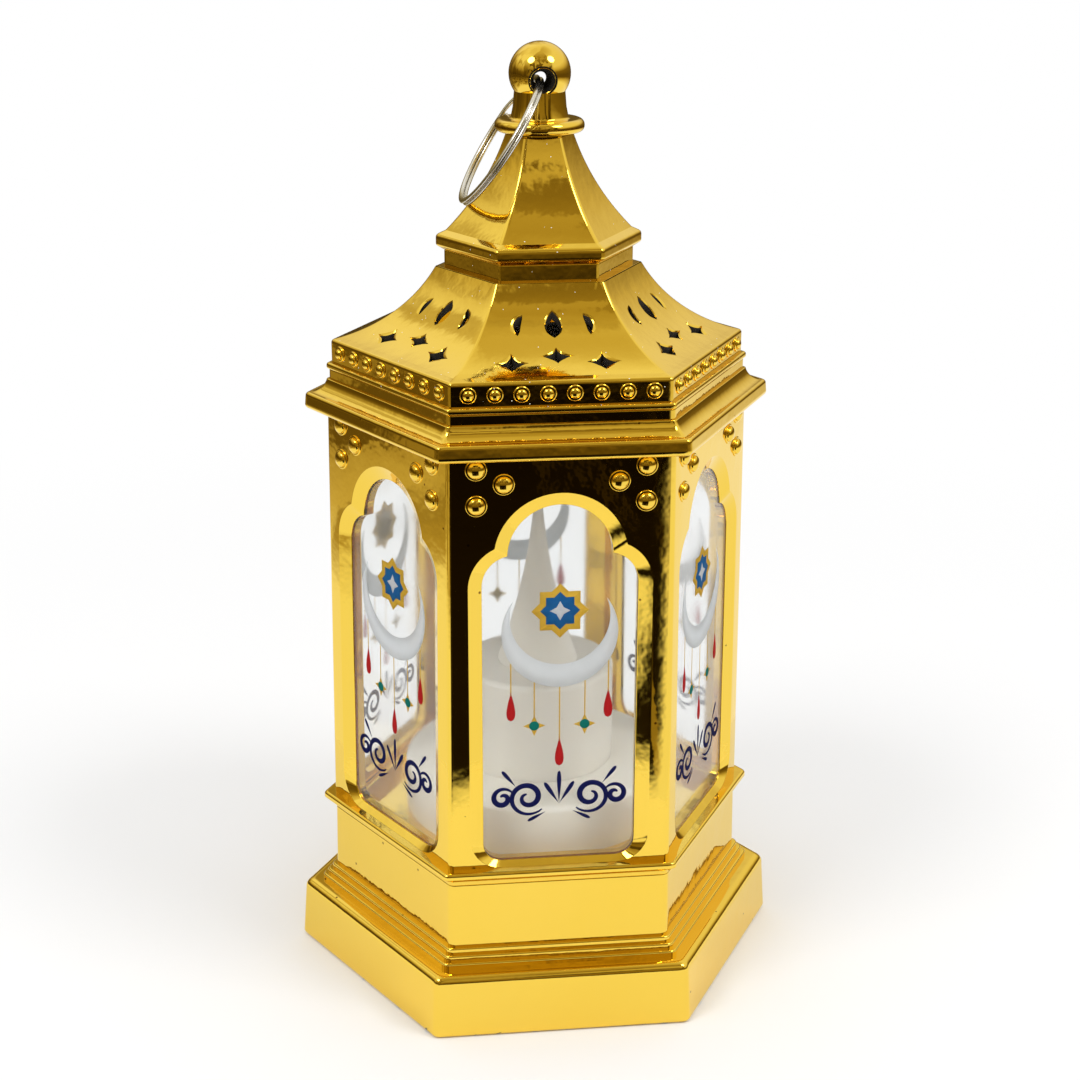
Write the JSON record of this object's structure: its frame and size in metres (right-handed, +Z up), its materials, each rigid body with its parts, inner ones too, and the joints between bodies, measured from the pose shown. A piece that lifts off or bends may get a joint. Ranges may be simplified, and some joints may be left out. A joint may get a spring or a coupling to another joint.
{
  "type": "hexagonal lantern",
  "caption": "Hexagonal gold-plated lantern with arched printed windows, a pierced two-tier roof, a lit candle inside and a wire ring in its ball finial to hang it by.",
  "frame": {"origin": "middle of the foot's underside, where the lantern stands", "axes": "+Z up along the lantern's axis, -Y out of the front window, +X to the viewer's right"},
  "size_m": [0.1038, 0.09, 0.192],
  "materials": {
    "gold_plating": "mirror gold plating on moulded plastic",
    "clear_sheet": "clear polished sheet with a print",
    "milky_plastic": "milky, satin",
    "ring_wire": "polished nickel plating",
    "cover_plastic": "fine moulded texture",
    "switch_plastic": "satin",
    "screw_steel": "zinc plated",
    "contact_steel": "nickel plated",
    "cell_jacket": "printed jacket",
    "board_laminate": "solder mask",
    "lamp_resin": "clear resin",
    "red_insulation": "satin",
    "black_insulation": "satin"
  },
  "bodies": {
    "lantern": {"base_shell": "gold_plating", "body_frame": "gold_plating", "cornice": "gold_plating", "roof_shell": "gold_plating", "upper_roof": "gold_plating", "finial": "gold_plating", "window_pane_1": "clear_sheet", "window_pane_2": "clear_sheet", "window_pane_3": "clear_sheet", "window_pane_4": "clear_sheet", "window_pane_5": "clear_sheet", "window_pane_6": "clear_sheet", "candle_base": "milky_plastic", "candle_body": "milky_plastic", "candle_flame": "milky_plastic", "aaa_cell_1": "cell_jacket", "aaa_cell_2": "cell_jacket", "aaa_cell_3": "cell_jacket", "bottom_cover": "cover_plastic", "battery_door": "cover_plastic", "switch_body": "switch_plastic", "cover_screws": "screw_steel", "battery_door_screw": "screw_steel", "candle_screws": "screw_steel", "battery_contacts": "contact_steel", "led_board": "board_laminate", "led": "lamp_resin", "switch_lead": "red_insulation", "led_lead_plus": "red_insulation", "led_lead_minus": "black_insulation"},
    "hanging_ring": {"hanging_ring": "ring_wire"},
    "switch_slider": {"switch_slider": "switch_plastic"}
  },
  "joints": [
    {"name": "ring_swing", "type": "hinge", "parent": "lantern", "child": "hanging_ring", "pos_m": [0, 0, 0.185], "axis": [0, 1, 0], "range_deg": [0, 294.6]},
    {"name": "switch_slide", "type": "slide", "parent": "lantern", "child": "switch_slider", "axis": [1, 0, 0], "range_m": [0, 0.003]}
  ]
}
